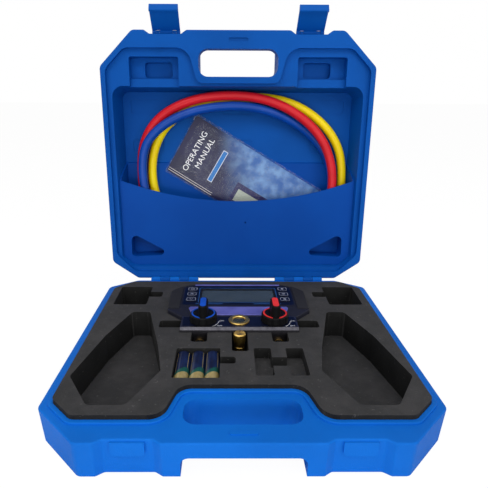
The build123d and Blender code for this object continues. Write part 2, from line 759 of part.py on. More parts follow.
def manual():
    """The stapled booklet and the clear sleeve round it, lying on the pocket's back sheet."""
    sleeve_top = LID_FLOOR - TRAY_WALL - TRAY_GAP
    sleeve_thick = MANUAL_THICK + 2 * SLEEVE_WALL + 0.2
    middle = manual_plane(sleeve_top - sleeve_thick / 2)
    book = extrude(RectangleRounded(MANUAL_LENGTH, MANUAL_WIDTH, 3), MANUAL_THICK / 2, both=True)
    outer = RectangleRounded(MANUAL_LENGTH + 4, MANUAL_WIDTH + 6, 4)
    sleeve = extrude(outer, sleeve_thick / 2, both=True)
    inner = Box(MANUAL_LENGTH + 1, MANUAL_WIDTH + 1, MANUAL_THICK + 0.2)
    mouth = Pos(MANUAL_LENGTH / 2, 0, 0) * Box(8, MANUAL_WIDTH + 1, MANUAL_THICK + 0.2)
    return middle * book, middle * (sleeve - inner - mouth)


# ---- gauge ------------------------------------------------------------------------------------
def level(height):
    """Height of a gauge feature, from its height over the rim."""
    return RIM + height


GAUGE_FLOOR = -GAUGE_DEPTH
SHELL_FLOOR = 3.0
POST_SPOTS = [(x, forward) for x in (-POST_X, POST_X) for forward in (POST_BACK, POST_FRONT)]
POST_RADIUS = 4.0
SCREW_RADIUS = 1.4
DOOR = (-31.0, 31.0, 58.0, 118.0)
DOOR_GAP = 0.25
LABEL_X = SCREEN_WIDTH / 2 + 20.5
LABEL = both([(LABEL_X - 10, 45.0, 4.0), (LABEL_X, 52.0, 6.0), (LABEL_X, 102.0, 4.0)])
SCREEN = (-SCREEN_WIDTH / 2, SCREEN_WIDTH / 2, SCREEN_BACK, SCREEN_FRONT)
GRIP_EDGE = 70.5
TRIM_BAND = [(-60.0, 108.0, 3.0), (60.0, 108.0, 3.0), (54.0, 129.5, 4.0), (-54.0, 129.5, 4.0)]
TRIM_BAR = [(-57.0, 41.8, 1.0), (57.0, 41.8, 1.0), (55.0, 44.4, 1.0), (-55.0, 44.4, 1.0)]


def gauge_body(low, high):
    return extrude(plan(GAUGE_OUTLINE, level(low)), high - low)


def gauge_hollow(low, high):
    inner = offset(plan(GAUGE_OUTLINE, level(low)), -GAUGE_WALL)
    return extrude(inner, high - low)


def post(x, forward, low, high, radius):
    return Pos(x, BACK - forward, level((low + high) / 2)) * Cylinder(radius, high - low)


def rear_housing():
    """Lower shell with screw posts, the battery door's opening and a rounded under-edge."""
    body = gauge_body(GAUGE_FLOOR, GAUGE_SPLIT)
    body = fillet(body.faces().sort_by(Axis.Z)[0].edges(), 1.8)
    body -= gauge_hollow(GAUGE_FLOOR + SHELL_FLOOR, GAUGE_SPLIT + 1)
    board_rest = BOARD_LEVEL - BOARD_THICK
    for x, forward in POST_SPOTS:
        body += post(x, forward, GAUGE_FLOOR + 1, board_rest, POST_RADIUS)
        body -= post(x, forward, GAUGE_FLOOR - 1, board_rest + 1, SCREW_RADIUS + PIN_GAP)
        body -= post(x, forward, GAUGE_FLOOR - 1, GAUGE_FLOOR + 2.2, 1.9 * SCREW_RADIUS)
    x0, x1, back, front = DOOR
    body -= bar(x0, x1, back, front, level(GAUGE_FLOOR - 1), level(GAUGE_FLOOR + 1.6), 2)
    inset = 2.0
    opening = (x0 + inset, x1 - inset, back + inset, front - inset)
    return body - bar(*opening, level(GAUGE_FLOOR), level(GAUGE_FLOOR + SHELL_FLOOR + 1), 1)


def battery_door():
    """Cover of the battery opening, with three grip ridges."""
    x0, x1, back, front = DOOR
    gap = DOOR_GAP
    span = (x0 + gap, x1 - gap, back + gap, front - gap)
    body = bar(*span, level(GAUGE_FLOOR), level(GAUGE_FLOOR + 1.6), 2)
    for step in range(3):
        back = front - 8 + 2 * step
        body -= bar(-8, 8, back, back + 1, level(GAUGE_FLOOR - 1), level(GAUGE_FLOOR + 0.5))
    return body


def key_places():
    """Middle of each key, left side then right, back to front."""
    rows = [KEY_MIDDLE + KEY_PITCH * step for step in (-1, 0, 1)]
    return [(side * KEY_X, forward) for side in (-1, 1) for forward in rows]


def key_prism(place, low, high, grow):
    x, forward = place
    reach, half = KEY_WIDTH / 2 + grow, KEY_LENGTH / 2 + grow
    span = (x - reach, x + reach, forward - half, forward + half)
    return bar(*span, level(low), level(high), 2.0 + grow)


def front_housing():
    """Upper shell: screen window, key holes, label recess, grip recesses and band ledge."""
    body = gauge_body(GAUGE_SPLIT, GAUGE_TOP)
    body = fillet(body.faces().sort_by(Axis.Z)[-1].edges(), 1.2)
    body -= gauge_hollow(GAUGE_SPLIT - 1, GAUGE_TOP - GAUGE_WALL)
    body -= extrude(plan(LABEL, level(GAUGE_TOP - LABEL_THICK)), 1)
    for place in key_places():
        body -= key_prism(place, GAUGE_SPLIT, GAUGE_TOP + 1, KEY_GAP)
    lens = bar(*SCREEN, level(GAUGE_TOP - LABEL_THICK - 1.2), level(GAUGE_TOP + 1), 1.5)
    x0, x1, back, front = SCREEN
    window = bar(x0 + 2, x1 - 2, back + 2, front - 2, level(GAUGE_SPLIT), level(GAUGE_TOP), 1)
    body -= lens + window
    for grip in side_grips():
        body -= grip
    for corners in (TRIM_BAND, TRIM_BAR):
        body -= extrude(plan(corners, level(GAUGE_TOP - 0.8)), 3)
    return body


def side_grips():
    """Rubber over-mouldings on the housing's two sides."""
    shell = gauge_body(GAUGE_TOP - 7, GAUGE_TOP + 0.8)
    shell = fillet(shell.faces().sort_by(Axis.Z)[-1].edges(), 1.2)
    core = offset(plan(GAUGE_OUTLINE, level(GAUGE_TOP - 8)), -1.4)
    shell -= extrude(core, 7.2)
    reach = GRIP_EDGE
    grips = []
    for low, high in ((-HALF, -reach), (reach, HALF)):
        grips.append(shell & bar(low, high, 0, POST_FRONT, level(-1), level(GAUGE_TOP + 2)))
    return grips


def face_label():
    """Thin face label with the screen window and the key holes."""
    body = extrude(plan(LABEL, level(GAUGE_TOP - LABEL_THICK)), LABEL_THICK)
    body -= bar(*SCREEN, level(0), level(GAUGE_TOP + 1), 1.5)
    for corners in (TRIM_BAND, TRIM_BAR):
        body -= extrude(plan(corners, level(0)), 2 * GAUGE_TOP)
    for place in key_places():
        body -= key_prism(place, 0, GAUGE_TOP + 1, KEY_GAP)
    return body


def lcd_lens():
    x0, x1, back, front = SCREEN
    span = (x0 + 0.1, x1 - 0.1, back + 0.1, front - 0.1)
    return bar(*span, level(GAUGE_TOP - LABEL_THICK - 1.2), level(GAUGE_TOP), 1.5)


def lcd_module():
    """Display glass on its frame, standing on the board just under the lens."""
    x0, x1, back, front = SCREEN
    frame_top = GAUGE_TOP - GAUGE_WALL - 0.3
    frame = bar(x0 - 1, x1 + 1, back - 1, front + 1, level(BOARD_LEVEL), level(frame_top), 1)
    glass_span = (x0 + 2.3, x1 - 2.3, back + 2.3, front - 2.3)
    return frame + bar(*glass_span, level(frame_top) - 0.5, level(frame_top + 0.7))


def circuit_board():
    """Board on the screw posts, with the six key switches and the main chip."""
    low = BOARD_LEVEL - BOARD_THICK
    reach = POST_X + 14
    board = bar(-reach, reach, POST_BACK - 7, POST_FRONT + 8, level(low), level(BOARD_LEVEL), 4)
    for x, forward in key_places():
        board += post(x, forward, BOARD_LEVEL - 0.5, switch_top(), 1.8)
    chip = bar(-20, -6, POST_FRONT - 12, POST_FRONT + 2, level(BOARD_LEVEL - 0.5), level(BOARD_LEVEL + 1.4))
    board += chip
    for x, forward in POST_SPOTS:
        board -= post(x, forward, low - 1, BOARD_LEVEL + 1, SCREW_RADIUS + PIN_GAP)
    return board


def key_low():
    """Underside of a key's flange, over the rim."""
    return GAUGE_TOP - GAUGE_WALL - 0.15 - KEY_FLANGE


def switch_top():
    return key_low() - KEY_TRAVEL - 0.2


KEY_FLANGE = 1.2


def key(place):
    """A key with a soft crown and the flange that keeps it in the housing."""
    cap = key_prism(place, key_low() + 0.2, GAUGE_TOP + KEY_PROUD, 0)
    cap = chamfer(cap.faces().sort_by(Axis.Z)[-1].edges(), 0.35)
    return cap + key_prism(place, key_low(), key_low() + KEY_FLANGE, 0.9)


def trim_band():
    """Bevelled band between the screen and the manifold block."""
    body = extrude(plan(TRIM_BAND, level(GAUGE_TOP - 0.8)), 0.8 + TRIM_THICK)
    return chamfer(body.faces().sort_by(Axis.Z)[-1].edges(), 0.8)


def trim_bar():
    body = extrude(plan(TRIM_BAR, level(GAUGE_TOP - 0.8)), 0.8 + TRIM_THICK)
    return chamfer(body.faces().sort_by(Axis.Z)[-1].edges(), 0.4)


def housing_screws():
    """Four screws through the rear housing's posts into the front, heads below."""
    screws = []
    for x, forward in POST_SPOTS:
        shank = post(x, forward, GAUGE_FLOOR + 1.2, BOARD_LEVEL + 1.2, SCREW_RADIUS)
        head = post(x, forward, GAUGE_FLOOR + 0.6, GAUGE_FLOOR + 2.2, 1.8 * SCREW_RADIUS)
        screws.append(shank + head)
    return screws


# ---- manifold block ---------------------------------------------------------------------------
BLOCK_LOW = BLOCK_TOP - BLOCK_HEIGHT
STEM_DEPTH = 14.0
SENSOR_X = 20.0
SENSOR_RADIUS = 5.0
BLOCK_FRONT = BLOCK_BACK + BLOCK_DEPTH
CENTRE_PORT_Y = BLOCK_FRONT + CENTRE_PORT_FORWARD
BLOCK_PLATE = 0.5
RING_WIDTH = 1.7


def manifold_block():
    """Bored aluminium block: stem bores, sight glass bore, three ports and a bevelled front."""
    x0, x1, back, front = block_span(0)
    body = bar(x0, x1, back, front, level(BLOCK_LOW), level(BLOCK_TOP))
    front_edge = body.edges().filter_by(Axis.X).group_by(Axis.Y)[0].sort_by(Axis.Z)[-1]
    body = chamfer(front_edge, 2.6)
    for side in (-1, 1):
        x = side * KNOB_X
        body -= post(x, KNOB_Y, BLOCK_TOP - STEM_DEPTH, BLOCK_TOP + 1, STEM_RADIUS + PIN_GAP)
        body -= post(side * SENSOR_X, KNOB_Y + 3, BLOCK_LOW - 1, BLOCK_LOW + 8, SENSOR_RADIUS)
        port = Pos(side * PORT_X, BACK - BLOCK_FRONT, level(PORT_LEVEL)) * Rot(90, 0, 0)
        body -= port * Cylinder(4.0, 2 * 9.0)
    sight = post(0, KNOB_Y, BLOCK_TOP - 6, BLOCK_TOP + 1, SIGHT_RADIUS - 1.6)
    centre = Pos(0, BACK - BLOCK_FRONT, level(PORT_LEVEL)) * Rot(90, 0, 0) * Cylinder(3.5, 12)
    plate = extrude(plan(block_plate_outline(), level(BLOCK_TOP - BLOCK_PLATE)), 1)
    return body - sight - centre - plate


def block_plate_outline():
    reach = BLOCK_WIDTH / 2 - 2.0
    back, front = BLOCK_BACK + 1.2, BLOCK_FRONT - 4.2
    return [(-reach, back, 2.0), (reach, back, 2.0), (reach, front, 2.0), (-reach, front, 2.0)]


def block_plate():
    """Printed plate on the block, pierced for the knobs' stems and the sight glass."""
    body = extrude(plan(block_plate_outline(), level(BLOCK_TOP - BLOCK_PLATE)), BLOCK_PLATE)
    for side in (-1, 1):
        body -= post(side * KNOB_X, KNOB_Y, 0, BLOCK_TOP + 1, STEM_RADIUS + 1)
    return body - post(0, KNOB_Y, 0, BLOCK_TOP + 1, SIGHT_RADIUS + 0.2)


def valve_stem(side):
    """Valve stem that turns with its knob, with two seal grooves and a tapered seat."""
    low = BLOCK_TOP - STEM_DEPTH + 0.4
    high = BLOCK_TOP + KNOB_SKIRT
    profile = [
        (0, low),
        (1.6, low),
        (STEM_RADIUS, low + 3),
        (STEM_RADIUS, low + 5),
        (STEM_RADIUS - 0.8, low + 5),
        (STEM_RADIUS - 0.8, low + 7),
        (STEM_RADIUS, low + 7),
        (STEM_RADIUS, high),
        (0, high),
    ]
    body = Pos(side * KNOB_X, BACK - KNOB_Y, RIM) * revolved(profile)
    flat = Pos(side * KNOB_X, BACK - KNOB_Y + STEM_RADIUS, level(high - 2.5)) * Box(9, 1.6, 5)
    return body - flat


def grip_outline(grow=0.0):
    return SlotOverall(GRIP_LENGTH + 2 * grow, GRIP_WIDTH + 2 * grow, rotation=90)


def knob(side):
    """Valve knob: fluted skirt, tapered bar grip, seats for the coloured ring and insert."""
    low = BLOCK_TOP + KNOB_GAP
    skirt_top = low + KNOB_SKIRT
    skirt = revolved(
        [
            (0, low),
            (KNOB_RADIUS, low),
            (KNOB_RADIUS, low + 2),
            (KNOB_RADIUS - 0.5, skirt_top - 1),
            (KNOB_RADIUS - 1.5, skirt_top),
            (0, skirt_top),
        ]
    )
    flute = Pos(KNOB_RADIUS + 0.6, 0, low + KNOB_SKIRT / 2) * Cylinder(1.5, KNOB_SKIRT + 1)
    for turn in range(12):
        skirt -= Rot(0, 0, 15 + 30 * turn) * flute
    grip = Pos(0, 0, skirt_top - 1) * extrude(grip_outline(), GRIP_TOP - skirt_top + 1, taper=2)
    grip = fillet(grip.faces().sort_by(Axis.Z)[-1].edges(), 1.2)
    body = skirt + grip
    stem_top = BLOCK_TOP + KNOB_SKIRT
    hollow = Pos(0, 0, low - 1) * extrude(Circle(KNOB_RADIUS - 3.0), 3.0)
    boss = Pos(0, 0, low) * extrude(Circle(STEM_RADIUS + 2.2), 3.0)
    body = body - hollow + boss
    body -= Pos(0, 0, low - 1) * extrude(Circle(STEM_RADIUS), stem_top - low + 1)
    body -= Pos(0, 0, skirt_top - 0.6) * ring_shape(1.6)
    body -= Pos(0, 0, GRIP_TOP - 0.8) * insert_shape(2)
    return Pos(side * KNOB_X, BACK - KNOB_Y, RIM) * body


def ring_shape(height):
    """Thin ring on the skirt, broken by the grip's foot."""
    outer = KNOB_RADIUS - 2.2
    ring = Circle(outer) - Circle(outer - RING_WIDTH) - grip_outline(0.4)
    return extrude(ring, height)


def insert_shape(height):
    return extrude(SlotOverall(GRIP_LENGTH - 5, GRIP_WIDTH - 4.4, rotation=90), height)


def knob_ring(side):
    seat = BLOCK_TOP + KNOB_GAP + KNOB_SKIRT - 0.6
    return Pos(side * KNOB_X, BACK - KNOB_Y, level(seat)) * ring_shape(1.2)


def knob_insert(side):
    return Pos(side * KNOB_X, BACK - KNOB_Y, level(GRIP_TOP - 0.8)) * insert_shape(1.1)


def sight_ring():
    """Stepped brass ring that holds the sight glass."""
    low = BLOCK_TOP - 6
    profile = [
        (SIGHT_BORE - 2, low),
        (SIGHT_RADIUS - 1.6, low),
        (SIGHT_RADIUS - 1.6, BLOCK_TOP),
        (SIGHT_RADIUS, BLOCK_TOP),
        (SIGHT_RADIUS, BLOCK_TOP + SIGHT_PROUD - 0.5),
        (SIGHT_RADIUS - 0.5, BLOCK_TOP + SIGHT_PROUD),
        (SIGHT_BORE + 0.8, BLOCK_TOP + SIGHT_PROUD),
        (SIGHT_BORE, BLOCK_TOP + SIGHT_PROUD - 0.8),
        (SIGHT_BORE, BLOCK_TOP - 2),
        (SIGHT_BORE - 2, BLOCK_TOP - 2),
    ]
    return Pos(0, BACK - KNOB_Y, RIM) * revolved(profile)


def sight_lens():
    """Domed glass in the ring."""
    low, edge = BLOCK_TOP - 2, BLOCK_TOP - 0.2
    profile = [
        (0, low),
        (SIGHT_BORE, low),
        (SIGHT_BORE, edge),
        (0.8 * SIGHT_BORE, edge + 0.4),
        (0.4 * SIGHT_BORE, edge + 0.8),
        (0, edge + 0.9),
    ]
    return Pos(0, BACK - KNOB_Y, RIM) * revolved(profile)


def pressure_sensors():
    """Two screwed-in sensors under the block."""
    sensors = []
    for side in (-1, 1):
        thread = post(side * SENSOR_X, KNOB_Y + 3, BLOCK_LOW, BLOCK_LOW + 8, SENSOR_RADIUS)
        low = GAUGE_FLOOR
        sensors.append(thread + post(side * SENSOR_X, KNOB_Y + 3, low, BLOCK_LOW, 1.3 * SENSOR_RADIUS))
    return sensors


def side_ports():
    """Flare fittings in the block's front, one per side."""
    profile = [
        (2.4, -8.0),
        (4.0, -8.0),
        (4.0, 0),
        (PORT_RADIUS - 0.4, 0),
        (PORT_RADIUS - 0.4, 3.0),
        (4.2, 3.0),
        (4.2, PORT_LENGTH - 4),
        (3.0, PORT_LENGTH - 2.5),
        (2.4, PORT_LENGTH - 2.5),
    ]
    return [port_place(side) * revolved(profile) for side in (-1, 1)]


def port_place(side):
    """A side port's local frame, z pointing forward out of the block."""
    return Pos(side * PORT_X, BACK - BLOCK_FRONT, level(PORT_LEVEL)) * Rot(90, 0, 0)


def side_port_caps():
    """Ribbed caps screwed on the side ports."""
    cap = extrude(Circle(PORT_RADIUS), PORT_LENGTH - 3.4)
    cap = fillet(cap.faces().sort_by(Axis.Z)[-1].edges(), 1.4)
    groove = Pos(PORT_RADIUS + 0.5, 0, 4) * Cylinder(0.9, PORT_LENGTH)
    for turn in range(8):
        cap -= Rot(0, 0, 45 * turn) * groove
    cap -= Pos(0, 0, -1) * extrude(Circle(4.3), PORT_LENGTH - 4.4)
    return [port_place(side) * Pos(0, 0, 3.2) * cap for side in (-1, 1)]


def centre_port():
    """Brass elbow: a leg from the block and the upright flare fitting."""
    foot = PORT_LEVEL
    upright = [
        (0, foot - 12),
        (3.4, foot - 12),
        (4.6, foot - 10.5),
        (4.6, foot - 6),
        (5.8, foot - 5),
        (5.8, foot + 1),
        (4.4, foot + 2),
        (4.4, CENTRE_PORT_TOP - 3),
        (0, CENTRE_PORT_TOP - 3),
    ]
    leg = Pos(0, BACK - BLOCK_FRONT, level(PORT_LEVEL)) * Rot(90, 0, 0) * Cylinder(3.5, 11)
    return Pos(0, BACK - CENTRE_PORT_Y, RIM) * revolved(upright) + leg


def centre_port_cap():
    """Knurled brass cap on the centre port."""
    radius = CENTRE_PORT_RADIUS
    low = PORT_LEVEL + 3.8
    profile = [
        (4.5, low),
        (radius - 0.6, low),
        (radius - 0.6, low + 3),
        (radius, low + 3.6),
        (radius, CENTRE_PORT_TOP - 1.2),
        (radius - 1.2, CENTRE_PORT_TOP),
        (0, CENTRE_PORT_TOP),
        (0, CENTRE_PORT_TOP - 2.6),
        (4.5, CENTRE_PORT_TOP - 2.6),
    ]
    return Pos(0, BACK - CENTRE_PORT_Y, RIM) * revolved(profile)


def batteries():
    """The cells lying side by side, positive ends to the back."""
    cells = []
    axis_level = FOAM_TOP - CELL_DEPTH + CELL_RADIUS
    for place in range(CELLS):
        x = CELL_ROW_X + CELL_PITCH * (place - (CELLS - 1) / 2)
        front = BACK - CELL_BACK - CELL_LENGTH - GAUGE_GAP
        body = extrude(Circle(CELL_RADIUS), CELL_LENGTH - 1)
        body = chamfer(body.edges(), 0.5)
        body += Pos(0, 0, CELL_LENGTH - 1.5) * extrude(Circle(2.7), 1.5)
        cells.append(Pos(x, front, axis_level) * Rot(-90, 0, 0) * body)
    return cells


# ---- nodes ------------------------------------------------------------------------------------
save("base_shell", base_shell())
save("foam_base", foam_sheet(CASE_FLOOR, POCKET_FLOOR))
for name, piece in foam_parts().items():
    save(name, piece)
save("hinge_pins", *hinge_pins())
save("lid_shell", opened(lid_shell()))
save("hose_pocket", opened(hose_pocket()))
for side, name in ((-1, "latch_left"), (1, "latch_right")):
    save(name, opened(latch(side)))
save("latch_pins", *[opened(pin) for pin in latch_pins()])
book, sleeve = manual()
save("manual_booklet", opened(book))
save("manual_sleeve", opened(sleeve))
for colour, route in (("red", RED_ROUTE), ("yellow", YELLOW_ROUTE), ("blue", BLUE_ROUTE)):
    save(f"hose_{colour}", opened(hose(colour, route)))
    planes = hose_end_planes(route)
    save(f"hose_{colour}_ends", *[opened(hose_end(plane)) for plane in planes])
    for letter, plane in zip("ab", planes):
        save(f"hose_{colour}_nut_{letter}", opened(hose_nut(plane)))

save("gauge_rear_housing", rear_housing())
save("gauge_front_housing", front_housing())
save("side_grips", *side_grips())
save("face_label", face_label())
save("lcd_lens", lcd_lens())
save("lcd_module", lcd_module())
save("circuit_board", circuit_board())
save("housing_screws", *housing_screws())
save("battery_door", battery_door())
save("trim_band", trim_band())
save("trim_bar", trim_bar())
for number, place in enumerate(key_places()):
    save(f"key_{'left' if number < 3 else 'right'}_{number % 3 + 1}", key(place))
save("manifold_block", manifold_block())
save("block_plate", block_plate())
save("sight_glass_ring", sight_ring())
save("sight_glass_lens", sight_lens())
save("pressure_sensors", *pressure_sensors())
save("side_port_fittings", *side_ports())
save("side_port_caps", *side_port_caps())
save("centre_port_fitting", centre_port())
save("centre_port_cap", centre_port_cap())
for side, name in ((-1, "low"), (1, "high")):
    save(f"{name}_valve_stem", valve_stem(side))
    save(f"{name}_knob", knob(side))
    save(f"{name}_knob_accents", knob_ring(side), knob_insert(side))
save("aa_batteries", *batteries())
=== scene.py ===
import math

import bmesh
import bpy
from mathutils import Matrix, Vector


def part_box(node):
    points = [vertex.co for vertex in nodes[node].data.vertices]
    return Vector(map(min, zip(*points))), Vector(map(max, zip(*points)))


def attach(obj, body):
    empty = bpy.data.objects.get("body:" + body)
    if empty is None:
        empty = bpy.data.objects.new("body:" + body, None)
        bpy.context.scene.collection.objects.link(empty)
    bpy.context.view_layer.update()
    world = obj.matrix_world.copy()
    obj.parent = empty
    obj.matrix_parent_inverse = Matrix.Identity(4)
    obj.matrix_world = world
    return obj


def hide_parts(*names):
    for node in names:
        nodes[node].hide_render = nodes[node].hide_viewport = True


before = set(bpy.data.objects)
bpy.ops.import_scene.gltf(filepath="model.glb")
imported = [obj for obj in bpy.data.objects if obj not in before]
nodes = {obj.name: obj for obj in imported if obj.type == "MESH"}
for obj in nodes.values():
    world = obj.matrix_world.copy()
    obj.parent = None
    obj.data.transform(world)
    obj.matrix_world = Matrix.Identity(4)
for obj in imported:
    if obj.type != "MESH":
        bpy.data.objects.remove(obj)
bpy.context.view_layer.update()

# ---- camera and lamps ---------------------------------------------------------------------------
PITCH, YAW, ROLL = 0.353, 0.006, 0.004
LENS = 33.77
SHIFT = (0.0293, 0.0328)
EYE = Vector((-0.0136, -0.4412, 0.2868))


def set_camera():
    """Camera a little above the open case, level with the lid's top edge."""
    flat = math.cos(PITCH)
    ahead = Vector((math.sin(YAW) * flat, math.cos(YAW) * flat, -math.sin(PITCH)))
    level = Vector((math.cos(YAW), -math.sin(YAW), 0))
    above = level.cross(ahead)
    right = level * math.cos(ROLL) + above * math.sin(ROLL)
    up = above * math.cos(ROLL) - level * math.sin(ROLL)
    data = bpy.data.cameras.new("camera")
    data.sensor_width = 36
    data.lens = LENS
    data.shift_x, data.shift_y = SHIFT
    data.clip_start = 0.01
    camera = bpy.data.objects.new("camera", data)
    camera.matrix_world = Matrix(
        [(right[i], up[i], -ahead[i], EYE[i]) for i in range(3)] + [(0, 0, 0, 1)]
    )
    bpy.context.scene.collection.objects.link(camera)
    bpy.context.scene.camera = camera


def soft_lamp(name, place, target, width, height, power):
    """A rectangular lamp that faces the target."""
    data = bpy.data.lights.new(name, "AREA")
    data.shape = "RECTANGLE"
    data.size, data.size_y = width, height
    data.energy = power
    lamp = bpy.data.objects.new(name, data)
    lamp.location = place
    lamp.rotation_euler = (Vector(target) - Vector(place)).to_track_quat("-Z", "Y").to_euler()
    bpy.context.scene.collection.objects.link(lamp)


set_camera()
soft_lamp("key lamp", (-0.5, -0.9, 1.5), (0, 0, 0.1), 1.1, 0.9, 9)
soft_lamp("fill lamp", (0.9, -1.3, 0.9), (0, 0, 0.12), 1.2, 1.2, 9)
soft_lamp("top lamp", (0.2, 0.1, 1.7), (0, -0.05, 0.0), 1.2, 0.8, 5)
soft_lamp("front lamp", (-0.2, -0.9, 0.12), (0, -0.16, 0.0), 0.9, 0.2, 2.2)


# ---- cords --------------------------------------------------------------------------------------
# Each route: (x, distance forward in the shut lid, depth into the lid), in metres.
RED_ROUTE = [
    (-0.045, 0.032, 0.0358),
    (-0.066, 0.0322, 0.0358),
    (-0.088, 0.0398, 0.0376),
    (-0.114, 0.056, 0.0376),
    (-0.132, 0.090, 0.0376),
    (-0.1355, 0.140, 0.0376),
    (-0.132, 0.186, 0.036),
    (-0.108, 0.221, 0.031),
    (-0.064, 0.2425, 0.025),
    (-0.014, 0.249, 0.024),
    (0.038, 0.2445, 0.024),
    (0.084, 0.224, 0.024),
    (0.117, 0.193, 0.024),
    (0.1335, 0.152, 0.024),
    (0.1325, 0.106, 0.0225),
    (0.110, 0.071, 0.0217),
    (0.076, 0.0555, 0.0217),
    (0.030, 0.054, 0.0217),
    (-0.014, 0.0544, 0.0217),
    (-0.036, 0.054, 0.0226),
]
YELLOW_ROUTE = [
    (-0.016, 0.0646, 0.0358),
    (-0.044, 0.065, 0.0358),
    (-0.074, 0.068, 0.0376),
    (-0.098, 0.083, 0.0376),
    (-0.116, 0.110, 0.0376),
    (-0.121, 0.146, 0.0376),
    (-0.115, 0.182, 0.0376),
    (-0.096, 0.213, 0.037),
    (-0.058, 0.235, 0.037),
    (-0.012, 0.244, 0.037),
    (0.036, 0.2473, 0.037),
    (0.080, 0.238, 0.037),
    (0.119, 0.213, 0.037),
    (0.142, 0.182, 0.037),
    (0.1495, 0.148, 0.0376),
    (0.1485, 0.107, 0.0376),
    (0.124, 0.061, 0.0376),
    (0.088, 0.0398, 0.0376),
    (0.067, 0.0322, 0.0358),
    (0.046, 0.032, 0.0358),
]
BLUE_ROUTE = [
    (0.040, 0.075, 0.0228),
    (0.014, 0.075, 0.0217),
    (-0.020, 0.0738, 0.0217),
    (-0.052, 0.075, 0.0217),
    (-0.084, 0.0765, 0.0217),
    (-0.112, 0.090, 0.0217),
    (-0.128, 0.114, 0.0225),
    (-0.1318, 0.148, 0.024),
    (-0.1275, 0.183, 0.024),
    (-0.105, 0.208, 0.024),
    (-0.068, 0.2265, 0.024),
    (-0.022, 0.235, 0.024),
    (0.023, 0.234, 0.026),
    (0.066, 0.221, 0.033),
    (0.103, 0.198, 0.037),
    (0.127, 0.168, 0.037),
    (0.136, 0.135, 0.037),
    (0.133, 0.106, 0.0376),
    (0.1135, 0.0715, 0.0365),
    (0.081, 0.0515, 0.0338),
    (0.052, 0.0485, 0.0338),
    (0.018, 0.0483, 0.0343),
]
HINGE = Vector((0, 0.1635, 0.034))
SHUT_BACK = 0.1615
SHUT_RIM = 0.0343
LID_ANGLE = -94
LID_TURN = Matrix.Rotation(math.radians(LID_ANGLE), 4, "X")
OPENED = Matrix.Translation(HINGE) @ LID_TURN @ Matrix.Translation(-HINGE)


def in_lid(x, forward, deep):
    """A point of the open lid, from its place in the shut one."""
    return OPENED @ Vector((x, SHUT_BACK - forward, SHUT_RIM + deep))


HOSE_DIAMETER = 0.012


def hose(colour, route):
    """A smooth hose along its route, in place of the model's own hose."""
    curve = bpy.data.curves.new(f"hose_{colour}_tube", "CURVE")
    curve.dimensions = "3D"
    curve.bevel_depth = 1.0
    curve.bevel_resolution = 6
    curve.resolution_u = 10
    spline = curve.splines.new("NURBS")
    spline.points.add(len(route) - 1)
    for point, place in zip(spline.points, route):
        point.co = (*in_lid(*place), 1)
        point.radius = HOSE_DIAMETER / 2
    spline.order_u = 3
    spline.use_endpoint_u = True
    tube = bpy.data.objects.new(f"hose_{colour}_tube", curve)
    bpy.context.scene.collection.objects.link(tube)
    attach(tube, "lid")
    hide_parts(f"hose_{colour}")
    return tube


tubes = {
    "red": hose("red", RED_ROUTE),
    "yellow": hose("yellow", YELLOW_ROUTE),
    "blue": hose("blue", BLUE_ROUTE),
}


# The booklet's middle, and the directions along its spine and up its short side.
BOOK_TILT = math.radians(30.5)
BOOK_MIDDLE = in_lid(0.010, 0.134, 0.0424)
TURN = OPENED.to_3x3()
BOOK_ALONG = TURN @ Vector((math.cos(BOOK_TILT), math.sin(BOOK_TILT), 0))
BOOK_UP = TURN @ Vector((math.sin(BOOK_TILT), -math.cos(BOOK_TILT), 0))
BOOK_OUT = TURN @ Vector((0, 0, -1))


# ---- shader writing -----------------------------------------------------------------------------
class Value:
    """A socket of a node tree, so that maths on it reads as an expression."""

    def __init__(self, graph, socket):
        self.graph, self.socket = graph, socket

    def _with(self, operation, other, reflected=False):
        first, second = (other, self) if reflected else (self, other)
        sockets = {0: first, 1: second}
        return self.graph.node("ShaderNodeMath", {"operation": operation}, sockets)

    def __add__(self, other):
        return self._with("ADD", other)

    def __radd__(self, other):
        return self._with("ADD", other, True)

    def __sub__(self, other):
        return self._with("SUBTRACT", other)

    def __rsub__(self, other):
        return self._with("SUBTRACT", other, True)

    def __mul__(self, other):
        return self._with("MULTIPLY", other)

    def __gt__(self, other):
        return self._with("GREATER_THAN", other)

    def __lt__(self, other):
        return self._with("LESS_THAN", other)

    def __mod__(self, other):
        return self._with("FLOORED_MODULO", other)

    def __abs__(self):
        return self.graph.node("ShaderNodeMath", {"operation": "ABSOLUTE"}, {0: self})


class Graph:
    """An emptied node tree of a material or a world."""

    def __init__(self, owner):
        owner.use_nodes = True
        self.tree = owner.node_tree
        self.tree.nodes.clear()

    def node(self, kind, settings=None, inputs=None, output=0):
        """Add a node: settings first, then its sockets. An end node has no output and is returned."""
        made = self.tree.nodes.new(kind)
        for name, value in (settings or {}).items():
            setattr(made, name, value)
        for key, value in (inputs or {}).items():
            self.plug(made.inputs[key], value)
        return Value(self, made.outputs[output]) if made.outputs else made

    def plug(self, socket, value):
        """Link a value to a socket, or set the socket to a plain number or colour."""
        if isinstance(value, Value):
            self.tree.links.new(value.socket, socket)
        elif isinstance(value, (tuple, list)) and len(socket.default_value) == 4:
            socket.default_value = (*value[:3], 1)
        else:
            socket.default_value = value


